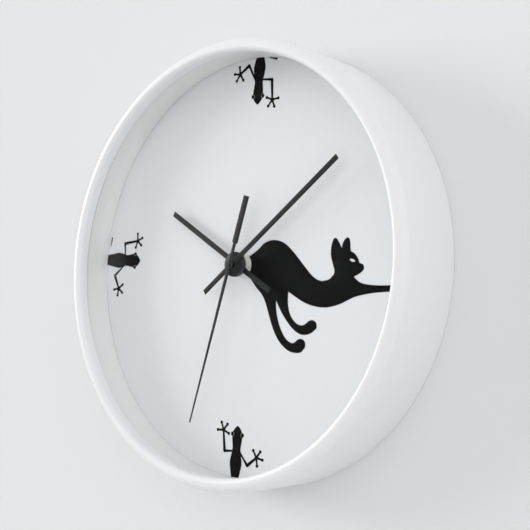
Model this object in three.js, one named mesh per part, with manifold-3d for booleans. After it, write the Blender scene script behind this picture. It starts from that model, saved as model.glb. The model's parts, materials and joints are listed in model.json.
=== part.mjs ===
// Round 10 inch wall clock with a printed cat whose tail is the hands, and a quartz movement behind the dial.
//
// Millimetres. Every piece is drawn in the clock's own frame: X to the viewer's right, Y up, and Z out from
// the wall, with the wall at Z = 0 and the hands' shaft at X = Y = 0. The exported group stands that frame
// up, so that its own +Z is up and the dial faces -Y, with the origin at the centre of the clock's box.
import * as THREE from "three";
import { mergeVertices } from "three/addons/utils/BufferGeometryUtils.js";
import Module from "manifold-3d";

const wasm = await Module();
wasm.setup();

// ---- driving dimensions ----

const CASE_RADIUS = 127;
const CASE_DEPTH = 45.6;
const SIDE_DRAFT = 0.3; // how much the side draws in between the back and the bead
const OPENING_RADIUS = 118.8;
const BEAD = { crest: 121.2, innerDepth: 3, outerWidth: 6.1, outerDepth: 7.8, steps: 6 };
const LENS = { radius: 121.6, back: 36.35, front: 38.25 };
const SPACER = { outer: 121.6, inner: 121, back: 20.02, front: 36.3 };
const DIAL = { radius: 121.6, back: 19.2, front: 19.8 };
const BOARD = { radius: 121.6, back: 17.2, front: 19.2 };
const CLEARANCE = 0.3; // round the lens, the spacer, the dial and the board in the rebate
const FILM = 0.02; // gap between faces that lie against each other
const GAP = 0.05; // gap between thicker pieces that touch
const OVERLAP = 0.1; // how far pieces of one solid run into each other
const POINT = { count: 6, width: 8, thickness: 0.4, inner: 113.5, outer: 124 };
const PRINT = { back: 19.82, front: 19.97 };

const MOVEMENT = { side: 56, corner: 3, back: 0.5, front: 16.1, wall: 1.2, plate: 1 };
const BUSHING = { radius: 4, bore: 2.75, front: 23.9 };
const MOUNTING_HOLE = 5;
const RUBBER_WASHER = { radius: 9, back: 16.7, front: 17.18 };
const NUT_WASHER = { radius: 7.1, back: 20, front: 20.5 };
const NUT = { corner: 7.6, back: 20.52, front: 23.5 };
const BATTERY_BAY_TOP = -11.2; // the bay lies below this height
const CELL = { radius: 6.9, length: 49.2, nub: 2.7, nubLength: 1.1, y: -19.4, z: 8.1 };

// Hands: angles clockwise from twelve, lengths from the shaft.
const HOUR = { degrees: 298.6, tip: 63, tail: 29.5, width: 3.2, back: 24.3, front: 24.8, eye: 5 };
const MINUTE = { degrees: 50.5, tip: 91.3, tail: 26.8, width: 3.1, back: 28.4, front: 28.9, eye: 3.4 };
const SECOND = { degrees: 194.2, tip: 95.7, back: 30.6, front: 31.1, eye: 2.2, point: 0.8 };
const PADDLE = { neck: 2.2, width: 4.1, start: 12, shoulder: 12.4, end: 39.8 }; // behind the second hand
const SECOND_HUB = { radius: 1.7, back: 29.3, front: 30.55, rivet: 0.9, rivetFront: 31.4 };
const HUB = { radius: 7.2, back: 25, rim: 27.9, front: 28.35 };

// Pipes and arbors on the shaft's axis.
const HOUR_PIPE = { radius: 2.55, bore: 1.75, front: 24.6 };
const MINUTE_PIPE = { radius: 1.6, bore: 0.75, back: 9.6, front: 29 };
const SECOND_ARBOR = { radius: 0.5, back: 1, front: 30.9 };
const ARBOR_RADIUS = 0.4;
const PIPE_FIT = 0.08; // round the minute pipe, in the pieces pressed on it
const PIVOT_HOLE = 0.5;

// The knob that sets the hands, and the rotor's magnet.
const KNOB = { radius: 5.5, grooves: 20, grooveDepth: 0.4, stem: 0.6, well: 0.8, back: 0.3, front: 3 };
const MAGNET = { radius: 3, back: 5.6, front: 8.2 };

// Gear train: teeth, and where each wheel or pinion lies between the plates.
const GEAR = {
  rotorPinion: { teeth: 10, back: 3.6, front: 5.2 },
  intermediateWheel: { teeth: 60, back: 4, front: 4.8 },
  intermediatePinion: { teeth: 12, back: 4.7, front: 7 },
  secondWheel: { teeth: 60, back: 5.8, front: 6.6 },
  secondPinion: { teeth: 8, back: 6.5, front: 8.6 },
  thirdWheel: { teeth: 60, back: 7.6, front: 8.4 },
  thirdPinion: { teeth: 8, back: 8.3, front: 11.1 },
  centerWheel: { teeth: 64, back: 9.9, front: 10.9 },
  cannonPinion: { teeth: 10, back: 11.4, front: 13 },
  minuteWheel: { teeth: 30, back: 11.7, front: 12.7 },
  minutePinion: { teeth: 10, back: 12.6, front: 14.7 },
  hourWheel: { teeth: 40, back: 13.4, front: 14.4 },
};

// Two gears that mesh share a module: twice the distance between them over all their teeth.
const pairDistance = (a, b, module) => ((a.teeth + b.teeth) / 2) * module;
const pairModule = (a, b, distance) => distance / ((a.teeth + b.teeth) / 2);

const STEP_MODULE = 0.25;
const SECOND_MODULE = 0.3;
const THIRD_DISTANCE = pairDistance(GEAR.secondPinion, GEAR.thirdWheel, SECOND_MODULE);
const CENTER_MODULE = pairModule(GEAR.thirdPinion, GEAR.centerWheel, THIRD_DISTANCE);
const MINUTE_WHEEL_DISTANCE = 11.4;
const CANNON_MODULE = pairModule(GEAR.cannonPinion, GEAR.minuteWheel, MINUTE_WHEEL_DISTANCE);
const HOUR_MODULE = pairModule(GEAR.minutePinion, GEAR.hourWheel, MINUTE_WHEEL_DISTANCE);

const fromPoint = (p, distance, degrees) => {
  const a = THREE.MathUtils.degToRad(degrees);
  return new THREE.Vector2(p.x + distance * Math.cos(a), p.y + distance * Math.sin(a));
};
const SHAFT = new THREE.Vector2(0, 0);
const THIRD = fromPoint(SHAFT, THIRD_DISTANCE, 180);
const MINUTE_WHEEL = fromPoint(SHAFT, MINUTE_WHEEL_DISTANCE, 20);
const INTERMEDIATE_DISTANCE = pairDistance(GEAR.intermediatePinion, GEAR.secondWheel, STEP_MODULE);
const INTERMEDIATE = fromPoint(SHAFT, INTERMEDIATE_DISTANCE, 115);
const ROTOR_DISTANCE = pairDistance(GEAR.rotorPinion, GEAR.intermediateWheel, STEP_MODULE);
const ROTOR = fromPoint(INTERMEDIATE, ROTOR_DISTANCE, 60);

// Segments round a full circle: the large rings, small turned parts, and arbors.
const RING_SEGMENTS = 96;
const SMALL_SEGMENTS = 24;
const ARBOR_SEGMENTS = 12;

const FINISH = {
  paintedCase: { color: 0xf1f2f4, roughness: 0.38, metalness: 0 },
  acrylic: { color: 0xf4f8fa, roughness: 0.05, metalness: 0 },
  spacer: { color: 0xd3d6d2, roughness: 0.6, metalness: 0 },
  dial: { color: 0xe9ebee, roughness: 0.55, metalness: 0 },
  ink: { color: 0x1a1a1a, roughness: 0.6, metalness: 0 },
  hand: { color: 0x3a3c3c, roughness: 0.45, metalness: 0.3 },
  nut: { color: 0xc6c2b8, roughness: 0.4, metalness: 0.2 },
  steel: { color: 0xb8bbbe, roughness: 0.35, metalness: 1 },
  brass: { color: 0xc9a557, roughness: 0.35, metalness: 1 },
  hardboard: { color: 0x8a6a48, roughness: 0.8, metalness: 0 },
  rubber: { color: 0x202020, roughness: 0.9, metalness: 0 },
  movement: { color: 0x1e1f20, roughness: 0.5, metalness: 0 },
  gear: { color: 0xe8e4d4, roughness: 0.5, metalness: 0 },
  board: { color: 0x2c6b45, roughness: 0.5, metalness: 0 },
  copper: { color: 0xb4632c, roughness: 0.35, metalness: 1 },
  ferrite: { color: 0x3b3b3e, roughness: 0.5, metalness: 0.2 },
  cell: { color: 0x2a2d33, roughness: 0.3, metalness: 0.4 },
};

// ---- making shapes ----

const clock = new THREE.Group();

function addPiece(name, geometry, finish, parent = clock) {
  const mesh = new THREE.Mesh(geometry, new THREE.MeshStandardMaterial(FINISH[finish]));
  mesh.name = name;
  parent.add(mesh);
  return mesh;
}

function toSolid(geometry) {
  const bare = geometry.clone();
  bare.deleteAttribute("normal");
  bare.deleteAttribute("uv");
  const merged = mergeVertices(bare, 1e-4);
  const vertProperties = merged.getAttribute("position").array;
  const triVerts = new Uint32Array(merged.index.array);
  return new wasm.Manifold(new wasm.Mesh({ numProp: 3, vertProperties, triVerts }));
}

function toGeometry(solid) {
  const mesh = solid.getMesh();
  const geometry = new THREE.BufferGeometry();
  geometry.setAttribute("position", new THREE.BufferAttribute(new Float32Array(mesh.vertProperties), 3));
  geometry.setIndex(new THREE.BufferAttribute(new Uint32Array(mesh.triVerts), 1));
  geometry.computeVertexNormals();
  return geometry;
}

const join = (...geometries) => toGeometry(geometries.map(toSolid).reduce((a, b) => a.add(b)));

function cut(geometry, ...tools) {
  return toGeometry(tools.map(toSolid).reduce((a, b) => a.subtract(b), toSolid(geometry)));
}

// A body of revolution about Z from [radius, z] pairs that run anticlockwise with z up.
function turned(profile, segments = SMALL_SEGMENTS) {
  const points = profile.map(([r, z]) => new THREE.Vector2(r, z));
  return new THREE.LatheGeometry(points, segments).rotateX(Math.PI / 2);
}

const disc = (radius, back, front, segments) =>
  turned([[0, back], [radius, back], [radius, front], [0, front]], segments);

const ring = (inner, outer, back, front, segments) =>
  turned([[inner, back], [outer, back], [outer, front], [inner, front], [inner, back]], segments);

const at = (p, geometry) => geometry.translate(p.x, p.y, 0);

function extruded(shape, back, front, curveSegments = 6) {
  const options = { depth: front - back, bevelEnabled: false, curveSegments };
  return new THREE.ExtrudeGeometry(shape, options).translate(0, 0, back);
}

function box(left, right, bottom, top, back, front) {
  const geometry = new THREE.BoxGeometry(right - left, top - bottom, front - back);
  return geometry.translate((left + right) / 2, (bottom + top) / 2, (back + front) / 2);
}

function roundedRectangle(left, right, bottom, top, corner) {
  const shape = new THREE.Shape();
  shape.moveTo(right, bottom + corner);
  shape.absarc(right - corner, top - corner, corner, 0, Math.PI / 2);
  shape.absarc(left + corner, top - corner, corner, Math.PI / 2, Math.PI);
  shape.absarc(left + corner, bottom + corner, corner, Math.PI, 1.5 * Math.PI);
  shape.absarc(right - corner, bottom + corner, corner, 1.5 * Math.PI, 2 * Math.PI);
  return shape;
}

function circle(p, radius) {
  return new THREE.Path().absarc(p.x, p.y, radius, 0, 2 * Math.PI);
}

const pairs = (list) => list.map(([x, y]) => new THREE.Vector2(x, y));

// ---- case, lens and dial ----

// The rounded front edge from the side to the opening: two quarter ellipses that meet at the crest. The outer
// one is cut short by the side, which leaves a faint crease.
function beadOutline(side) {
  const { crest, innerDepth, outerWidth, outerDepth, steps } = BEAD;
  const point = (width, depth, a) => [crest + width * Math.cos(a), CASE_DEPTH - depth * (1 - Math.sin(a))];
  const start = Math.acos((side - crest) / outerWidth);
  const outer = Array.from({ length: steps }, (_, i) => start + ((Math.PI / 2 - start) * i) / steps);
  const inner = Array.from({ length: steps + 1 }, (_, i) => (Math.PI / 2) * (1 + i / steps));
  return [
    ...outer.map((a) => point(outerWidth, outerDepth, a)),
    ...inner.map((a) => point(crest - OPENING_RADIUS, innerDepth, a)),
  ];
}

function caseRing() {
  const rebate = BOARD.radius + CLEARANCE;
  const seat = LENS.front + GAP;
  const inside = [[OPENING_RADIUS, seat], [rebate, seat], [rebate, 0]];
  const profile = [[rebate, 0], [CASE_RADIUS, 0], ...beadOutline(CASE_RADIUS - SIDE_DRAFT), ...inside];
  return cut(turned(profile, RING_SEGMENTS), ...pointAngles().map(pointSlot));
}

function pointAngles() {
  const pitch = (2 * Math.PI) / POINT.count;
  return Array.from({ length: POINT.count }, (_, i) => (i + 0.5) * pitch);
}

// The steel points that hold the board in, lying against its back with their outer ends pushed into the case.
function boardPoint(angle) {
  const front = BOARD.back - GAP;
  const shoulder = BOARD.radius - 1;
  const side = POINT.width / 2;
  const end = 1;
  const inner = [[POINT.inner, side], [POINT.inner, -side], [shoulder, -side]];
  const outer = [[POINT.outer, -end], [POINT.outer, end], [shoulder, side]];
  const shape = new THREE.Shape(pairs([...inner, ...outer]));
  return extruded(shape, front - POINT.thickness, front).rotateZ(angle);
}

function pointSlot(angle) {
  const side = POINT.width / 2 + CLEARANCE;
  const back = BOARD.back - GAP - POINT.thickness - CLEARANCE;
  const end = POINT.outer + CLEARANCE;
  return box(POINT.inner, end, -side, side, back, BOARD.back + CLEARANCE).rotateZ(angle);
}

addPiece("case_ring", caseRing(), "paintedCase");
addPiece("lens", disc(LENS.radius, LENS.back, LENS.front, RING_SEGMENTS), "acrylic");
addPiece("spacer_ring", ring(SPACER.inner, SPACER.outer, SPACER.back, SPACER.front, RING_SEGMENTS), "spacer");
addPiece("dial", ring(MOUNTING_HOLE, DIAL.radius, DIAL.back, DIAL.front, RING_SEGMENTS), "dial");
const board = ring(MOUNTING_HOLE, BOARD.radius, BOARD.back, BOARD.front - FILM, RING_SEGMENTS);
addPiece("back_board", board, "hardboard");
pointAngles().forEach((angle, i) => addPiece(`board_point_${i + 1}`, boardPoint(angle), "steel"));

// ---- the print on the dial ----

// The stretching cat: smooth runs between sharp corners, clockwise from the rump under the nut's washer.
function catShape() {
  const shape = new THREE.Shape();
  const start = THREE.MathUtils.degToRad(-48);
  const end = THREE.MathUtils.degToRad(50);
  shape.absarc(0, 0, MOUNTING_HOLE + 0.6, start, end, false);
  const runs = [
    [[11.2, 9], [16.2, 13], [22.8, 14.6], [30.4, 13], [37.8, 7.8], [45.4, 0.8], [52, -5], [58, -7.4],
      [63.4, -6.4]],
    [[66.6, -3], [65.4, 1.4], [63.6, 6.4], [63.6, 11.6], [65, 15.5], [66.8, 15.4], [68.8, 13], [70.5, 10.4]],
    [[71.2, 13.4], [73, 15.7], [74.8, 15.8], [75.8, 13.4], [76, 11], [76.5, 8.8]],
    [[79, 7.6], [81.3, 5.2], [82.4, 2.7]],
    [[84.8, 1.9], [85.5, -0.3], [83.4, -2.5], [79.4, -4.6]],
    [[84, -7.6], [92, -8.6], [101, -8.4], [108.6, -7.3], [112.8, -6.4], [115.6, -8], [115, -10.6],
      [110.6, -11.3]],
    [[101, -11.7], [90, -13], [80, -15.4], [71, -19.4], [60.6, -21.6], [48.4, -19.9], [35.6, -14]],
    [[35.8, -20.4], [37.8, -26.4], [41.8, -30.6], [45.6, -32], [48.6, -31.4], [51.2, -29.4], [53.8, -28.8],
      [56.4, -30.2], [56.8, -33]],
    [[53.2, -35.8], [48, -37.1], [42.6, -35.6], [37.2, -31.6], [31.6, -25.6], [27, -19]],
    [[28, -26], [31, -33.6], [35.2, -39.4], [39.2, -41.8], [42, -41.8], [44.2, -40], [46.8, -39.3],
      [49.4, -40.8], [49.8, -43.6]],
    [[47, -46.6], [42.6, -47.2], [37.2, -46], [30.8, -41.4], [25.8, -34.4], [22.4, -27.2], [19.4, -20.8],
      [16.4, -16.4], [11.6, -12.4], [7, -7.6]],
  ];
  for (const run of runs) shape.splineThru(pairs(run));
  return shape;
}

function catEye() {
  const eye = new THREE.Shape();
  eye.moveTo(75.9, 4.7);
  eye.quadraticCurveTo(78.2, 5.3, 79.9, 3.5);
  eye.quadraticCurveTo(77.4, 2.4, 75.9, 4.7);
  return eye;
}

// A straight limb that narrows or widens from one end to the other.
function limb(from, to, fromWidth, toWidth) {
  const along = to.clone().sub(from).normalize();
  const side = new THREE.Vector2(-along.y, along.x);
  const corner = (p, width) => p.clone().addScaledVector(side, width / 2);
  const start = [corner(from, fromWidth), corner(from, -fromWidth)];
  const end = [corner(to, -toWidth), corner(to, toWidth)];
  return extruded(new THREE.Shape([...start, ...end]), PRINT.back, PRINT.front);
}

const spot = (p, radius, sides = 8) => at(p, disc(radius, PRINT.back, PRINT.front, sides));

// Four thin toes spread from a palm, each with a round pad at its end.
function foot(palm, heading) {
  const toes = [-108, -36, 27, 98].map((turn) => fromPoint(palm, 4.5, heading + turn));
  return [spot(palm, 1.35), ...toes.flatMap((toe) => [limb(palm, toe, 1.4, 1), spot(toe, 0.95)])];
}

// An arm that is thickest at the elbow, with the foot at its end.
function arm(shoulder, [elbow, palm], heading) {
  return [
    limb(shoulder, elbow, 1, 1.6),
    spot(elbow, 0.9),
    limb(elbow, palm, 2, 1.3),
    ...foot(palm, heading),
  ];
}

function lizardBody(hips, girth) {
  const head = [[0.7, -0.4], [1.9, -1.6], [3, -3.4], [3.45, -6], [3.3, -8.6]];
  const trunk = [[2.8, -13.2], [3.5, -16.8], [4.15, -21.2], [3.5, -25]];
  const side = [...head, ...trunk, [2.6, hips]].map(([x, y]) => [x * girth, y]);
  const mirrored = side.map(([x, y]) => [-x, y]).reverse();
  const body = new THREE.Shape();
  body.splineThru(pairs(side));
  body.lineTo(...mirrored[0]);
  body.splineThru(pairs([...mirrored.slice(1), [0, 0]]));
  return extruded(body, PRINT.back, PRINT.front, 2);
}

const EYE = { x: 3.4, y: -4.9, radius: 1.25, rimRadius: 1.05, rim: 0.28, reach: 1.2 };

// The bare line that sets an eye off from the head, on the side where x is.
function eyeRim(x) {
  const middle = x > 0 ? Math.PI : 0;
  const [start, end] = [middle - EYE.reach, middle + EYE.reach];
  const line = new THREE.Shape();
  line.absarc(x, EYE.y, EYE.rimRadius + EYE.rim / 2, start, end, false);
  line.absarc(x, EYE.y, EYE.rimRadius - EYE.rim / 2, end, start, true);
  return extruded(line, PRINT.back - 1, PRINT.front + 1, 4);
}

// A lizard seen from above, its nose at the origin, facing +Y and cut off at the hips by the dial's edge.
function lizard({ hips, girth, inner, outer }) {
  const [innerShoulder, outerShoulder] = pairs([[-2.6, -14.5], [2.8, -14.6]]);
  const eyes = [-EYE.x * girth, EYE.x * girth];
  const outline = join(
    lizardBody(hips, girth),
    ...eyes.map((x) => spot(new THREE.Vector2(x, EYE.y), EYE.radius, 12)),
    ...arm(innerShoulder, pairs(inner), 88),
    ...arm(outerShoulder, pairs(outer), 28),
  );
  return cut(outline, ...eyes.map(eyeRim));
}

// Each lizard: where its nose is, which way it turns from facing +Y, how far back its hips are, how stout its
// body is, and the elbow and palm of the arm nearer its head and of the other.
const LIZARDS = {
  top: { nose: [3.5, 93.4], turn: 180, hips: -28, girth: 1.08, inner: [[-10.1, -13.7], [-11.2, -1.9]],
    outer: [[8.3, -23.9], [15.1, -19.3]] },
  bottom: { nose: [4.6, -91.8], turn: 0, hips: -29.5, girth: 1.08, inner: [[-9.2, -15.4], [-11, -3.6]],
    outer: [[8.8, -21.2], [15.4, -15.8]] },
  left: { nose: [-89, 1.2], turn: -90, hips: -32.4, girth: 1.22, inner: [[-10.9, -15.8], [-12.7, -3.5]],
    outer: [[10.1, -23.7], [18.4, -19.1]] },
};

// The tips of two hind feet that the dial's edge leaves: a pad and the end of the toe behind it.
const TOES = {
  top: { pad: [16.2, 118.8], end: [10.4, 120.2] },
  left: { pad: [-117.9, 15.6], end: [-119, 10.2] },
};

function toePrint({ pad, end }) {
  const [tip, root] = pairs([pad, end]);
  return join(spot(tip, 0.65), limb(tip, root, 1.1, 0.4));
}

function catPrint() {
  const eyeHole = extruded(catEye(), PRINT.back - 1, PRINT.front + 1, 4);
  return cut(extruded(catShape(), PRINT.back, PRINT.front, 2), eyeHole);
}

addPiece("cat_print", catPrint(), "ink");
for (const [place, plan] of Object.entries(LIZARDS)) {
  const piece = addPiece(`lizard_print_${place}`, lizard(plan), "ink");
  piece.position.set(plan.nose[0], plan.nose[1], 0);
  piece.rotation.z = THREE.MathUtils.degToRad(plan.turn);
}

for (const [place, toe] of Object.entries(TOES)) addPiece(`toe_print_${place}`, toePrint(toe), "ink");

// ---- gears ----

const phaseTowards = (from, to) => Math.atan2(to.y - from.y, to.x - from.x);

// A toothed outline with a tooth, or the gap between two, facing one direction.
function gearShape(teeth, module, facing, gapThere) {
  const pitch = (2 * Math.PI) / teeth;
  const root = (module * (teeth - 2.3)) / 2;
  const tip = (module * (teeth + 1.5)) / 2;
  const start = facing + (gapThere ? pitch / 2 : 0);
  const points = [];
  for (let i = 0; i < teeth; i++) {
    for (const [radius, share] of [[root, -0.5], [tip, -0.06], [tip, 0.06]]) {
      const a = start + (i + share) * pitch;
      points.push(new THREE.Vector2(radius * Math.cos(a), radius * Math.sin(a)));
    }
  }
  return new THREE.Shape(points);
}

// The driving member of a pair has a tooth facing its partner, the driven one a gap.
const toothed = ({ teeth, back, front }, module, p, partner, gapThere = false) =>
  extruded(gearShape(teeth, module, phaseTowards(p, partner), gapThere), back, front);

const arbor = (back, front, radius = ARBOR_RADIUS) => disc(radius, back, front, ARBOR_SEGMENTS);

// A toothed disc fixed round a pipe that has its own bore.
function onPipe(shape, { back, front }, pipeRadius) {
  const core = disc(pipeRadius - 0.2, back - 1, front + 1);
  return cut(extruded(shape, back, front), core);
}

const BACK_PIVOT = 1; // the arbors' back ends run in the back cover
const MIDDLE_PIVOT = 9.3; // or their front ends in the middle plate
const FRONT_PIVOT = 15.6; // or in the front plate

function rotorPinion() {
  const pinion = toothed(GEAR.rotorPinion, STEP_MODULE, ROTOR, INTERMEDIATE);
  return join(pinion, arbor(BACK_PIVOT, MAGNET.back - GAP));
}

function rotorMagnet() {
  return join(disc(MAGNET.radius, MAGNET.back, MAGNET.front), arbor(MAGNET.front - OVERLAP, MIDDLE_PIVOT));
}

function intermediateWheel() {
  const wheel = toothed(GEAR.intermediateWheel, STEP_MODULE, INTERMEDIATE, ROTOR, true);
  const pinion = toothed(GEAR.intermediatePinion, STEP_MODULE, INTERMEDIATE, SHAFT);
  return join(wheel, pinion, arbor(BACK_PIVOT, MIDDLE_PIVOT));
}

function secondWheel() {
  const wheel = toothed(GEAR.secondWheel, STEP_MODULE, SHAFT, INTERMEDIATE, true);
  const pinion = toothed(GEAR.secondPinion, SECOND_MODULE, SHAFT, THIRD);
  return join(wheel, pinion, arbor(SECOND_ARBOR.back, SECOND_ARBOR.front, SECOND_ARBOR.radius));
}

function thirdWheel() {
  const wheel = toothed(GEAR.thirdWheel, SECOND_MODULE, THIRD, SHAFT, true);
  const pinion = toothed(GEAR.thirdPinion, CENTER_MODULE, THIRD, SHAFT);
  return join(wheel, pinion, arbor(BACK_PIVOT, FRONT_PIVOT));
}

function centerWheel() {
  const { teeth, back, front } = GEAR.centerWheel;
  const shape = gearShape(teeth, CENTER_MODULE, phaseTowards(SHAFT, THIRD), true);
  shape.holes.push(circle(SHAFT, MINUTE_PIPE.radius + PIPE_FIT));
  return extruded(shape, back, front, SMALL_SEGMENTS);
}

function cannonPinion() {
  const { radius, bore, back, front } = MINUTE_PIPE;
  const shape = gearShape(GEAR.cannonPinion.teeth, CANNON_MODULE, phaseTowards(SHAFT, MINUTE_WHEEL), false);
  return join(ring(bore, radius, back, front, SMALL_SEGMENTS), onPipe(shape, GEAR.cannonPinion, radius));
}

function minuteWheel() {
  const wheel = toothed(GEAR.minuteWheel, CANNON_MODULE, MINUTE_WHEEL, SHAFT, true);
  const pinion = toothed(GEAR.minutePinion, HOUR_MODULE, MINUTE_WHEEL, SHAFT);
  return join(wheel, pinion, arbor(KNOB.front + GAP, FRONT_PIVOT, KNOB.stem));
}

function hourWheel() {
  const { radius, bore, front } = HOUR_PIPE;
  const shape = gearShape(GEAR.hourWheel.teeth, HOUR_MODULE, phaseTowards(SHAFT, MINUTE_WHEEL), true);
  const pipe = ring(bore, radius, GEAR.hourWheel.back, front, SMALL_SEGMENTS);
  return join(pipe, onPipe(shape, GEAR.hourWheel, radius));
}

// ---- movement ----

const half = MOVEMENT.side / 2;
const inside = half - MOVEMENT.wall;
const plateBack = MOVEMENT.front - MOVEMENT.plate;
const coverFront = MOVEMENT.back + MOVEMENT.plate;
const wallBack = coverFront + GAP;
const wallFront = plateBack + OVERLAP;
const bayWall = BATTERY_BAY_TOP - 0.8;
const MIDDLE_PLATE = { left: -24, right: 24, bottom: -10.6, top: 18.2, back: 8.9, front: 9.5 };
const POSTS = pairs([[-21.5, -8], [21.5, -8]]);

function frontHousing() {
  const plate = roundedRectangle(-half, half, -half, half, MOVEMENT.corner);
  plate.holes.push(circle(SHAFT, BUSHING.bore), circle(THIRD, PIVOT_HOLE), circle(MINUTE_WHEEL, 0.75));
  const wall = roundedRectangle(-half, half, -half, half, MOVEMENT.corner);
  wall.holes.push(roundedRectangle(-inside, inside, -inside, inside, MOVEMENT.corner - MOVEMENT.wall));
  const post = (p) => at(p, disc(1.5, MIDDLE_PLATE.front + FILM, wallFront, ARBOR_SEGMENTS));
  return join(
    extruded(plate, plateBack, MOVEMENT.front, 6),
    extruded(wall, wallBack, wallFront),
    box(-inside - OVERLAP, inside + OVERLAP, bayWall, BATTERY_BAY_TOP, wallBack, wallFront),
    ring(BUSHING.bore, BUSHING.radius, MOVEMENT.front - OVERLAP, BUSHING.front, SMALL_SEGMENTS),
    ...POSTS.map(post),
  );
}

function backCover() {
  const shape = roundedRectangle(-half, half, bayWall, half, MOVEMENT.corner);
  shape.holes.push(circle(SHAFT, SECOND_ARBOR.radius + 0.1), circle(THIRD, PIVOT_HOLE));
  shape.holes.push(circle(INTERMEDIATE, PIVOT_HOLE), circle(ROTOR, PIVOT_HOLE));
  shape.holes.push(circle(MINUTE_WHEEL, KNOB.radius + KNOB.well));
  return extruded(shape, MOVEMENT.back, coverFront, 4);
}

function middlePlate() {
  const { left, right, bottom, top, back, front } = MIDDLE_PLATE;
  const shape = roundedRectangle(left, right, bottom, top, 2);
  shape.holes.push(circle(SHAFT, SECOND_ARBOR.radius + 0.2), circle(THIRD, 1.8));
  shape.holes.push(circle(INTERMEDIATE, PIVOT_HOLE), circle(ROTOR, PIVOT_HOLE), circle(MINUTE_WHEEL, 0.8));
  return extruded(shape, back, front, 4);
}

// The knob that sets the hands, in a well in the back cover, with finger grooves round its edge.
function settingKnob() {
  const points = [];
  for (let i = 0; i < KNOB.grooves * 2; i++) {
    const a = (i * Math.PI) / KNOB.grooves;
    const radius = KNOB.radius - (i % 2) * KNOB.grooveDepth;
    points.push(new THREE.Vector2(radius * Math.cos(a), radius * Math.sin(a)));
  }
  return extruded(new THREE.Shape(points), KNOB.back, KNOB.front);
}

// The stepper motor: a coil on a core bar, whose ends lie on the arms of the stator round the rotor's magnet.
const COIL = { y: 22.6, z: 7.75, left: -9.4, right: 10.6, radius: 3, core: 1.6, coreDepth: 0.7 };
const STATOR = { left: -14, right: 15.2, bottom: 11.4, arm: 3.6, back: 6.4, front: 7.3 };

function statorShape() {
  const { left, right, bottom, arm } = STATOR;
  const top = COIL.y + 1.4;
  const yoke = ROTOR.y + 3.7;
  const slope = 5;
  const leftEnd = [[left, bottom + slope], [ROTOR.x - slope, bottom]];
  const rightEnd = [[ROTOR.x + slope, bottom], [right, bottom + slope]];
  const rightArm = [[right, top], [right - arm, top], [right - arm, yoke]];
  const leftArm = [[left + arm, yoke], [left + arm, top], [left, top]];
  const shape = new THREE.Shape(pairs([...leftEnd, ...rightEnd, ...rightArm, ...leftArm]));
  shape.holes.push(circle(ROTOR, MAGNET.radius + 0.4));
  return shape;
}

function coilCore() {
  const { y, z, core, coreDepth } = COIL;
  return box(STATOR.left, STATOR.right, y - core / 2, y + core / 2, z - coreDepth / 2, z + coreDepth / 2);
}

// A spool along X: a square tube round the core with a flange at each end.
function coilBobbin() {
  const { y, z, left, right, radius } = COIL;
  const flange = (x) => box(x, x + 0.8, y - radius, y + radius, z - radius, z + radius);
  const tube = box(left, right, y - 1.4, y + 1.4, z - 1, z + 1);
  const bore = box(left - 1, right + 1, y - 0.95, y + 0.95, z - 0.5, z + 0.5);
  return cut(join(tube, flange(left), flange(right - 0.8)), bore);
}

function alongX(geometry, y, z) {
  return geometry.rotateY(Math.PI / 2).translate(0, y, z);
}

function coilWinding() {
  const { y, z, left, right, radius } = COIL;
  return alongX(ring(1.85, radius - 0.3, left + 0.9, right - 0.9, SMALL_SEGMENTS), y, z);
}

// ---- battery ----

function cell() {
  const { radius, length, nub, nubLength, y, z } = CELL;
  const left = -length / 2 - 0.4;
  const right = left + length;
  const flatEnd = [[0, left], [radius - 0.5, left], [radius, left + 0.5]];
  const nubEnd = [[radius, right - 0.8], [radius - 0.8, right], [nub, right], [nub, right + nubLength]];
  return alongX(turned([...flatEnd, ...nubEnd, [0, right + nubLength]]), y, z);
}

// A strip of spring steel bowed towards the cell, standing against an end wall of the bay.
function batteryContact(side) {
  const wall = side * (inside - 0.15);
  const strip = 0.3;
  const bow = side > 0 ? 0.5 : 0.9;
  const shape = new THREE.Shape();
  const face = wall - side * strip;
  shape.moveTo(wall, CELL.y - 5);
  shape.lineTo(wall, CELL.y + 5);
  shape.lineTo(face, CELL.y + 5);
  shape.quadraticCurveTo(face - side * bow, CELL.y, face, CELL.y - 5);
  return extruded(shape, CELL.z - 4, CELL.z + 4);
}

const movement = new THREE.Group();
clock.add(movement);
addPiece("movement_housing", frontHousing(), "movement", movement);
addPiece("movement_back_cover", backCover(), "movement", movement);
addPiece("middle_plate", middlePlate(), "gear", movement);
addPiece("stator", extruded(statorShape(), STATOR.back, STATOR.front), "steel", movement);
addPiece("coil_core", coilCore(), "steel", movement);
addPiece("coil_bobbin", coilBobbin(), "gear", movement);
addPiece("coil_winding", coilWinding(), "copper", movement);
addPiece("circuit_board", box(-26.2, -12.4, 9.5, 26, 2.2, 3.2), "board", movement);
addPiece("control_chip", at(new THREE.Vector2(-21.5, 14), disc(2.4, 3.25, 4.25, 16)), "rubber", movement);
addPiece("quartz_crystal", alongX(disc(1, -22.5, -15.5, 16), 20.5, 4.3), "steel", movement);
addPiece("battery_contact_positive", batteryContact(1), "steel", movement);
addPiece("battery_contact_negative", batteryContact(-1), "steel", movement);
addPiece("battery", cell(), "cell", movement);
addPiece("hour_wheel", hourWheel(), "gear", movement);
addPiece("cannon_pinion", cannonPinion(), "brass", movement);
addPiece("center_wheel", centerWheel(), "gear", movement);
addPiece("second_wheel", secondWheel(), "gear", movement);
const knob = addPiece("setting_knob", settingKnob(), "movement", movement);
knob.position.set(MINUTE_WHEEL.x, MINUTE_WHEEL.y, 0);
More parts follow.
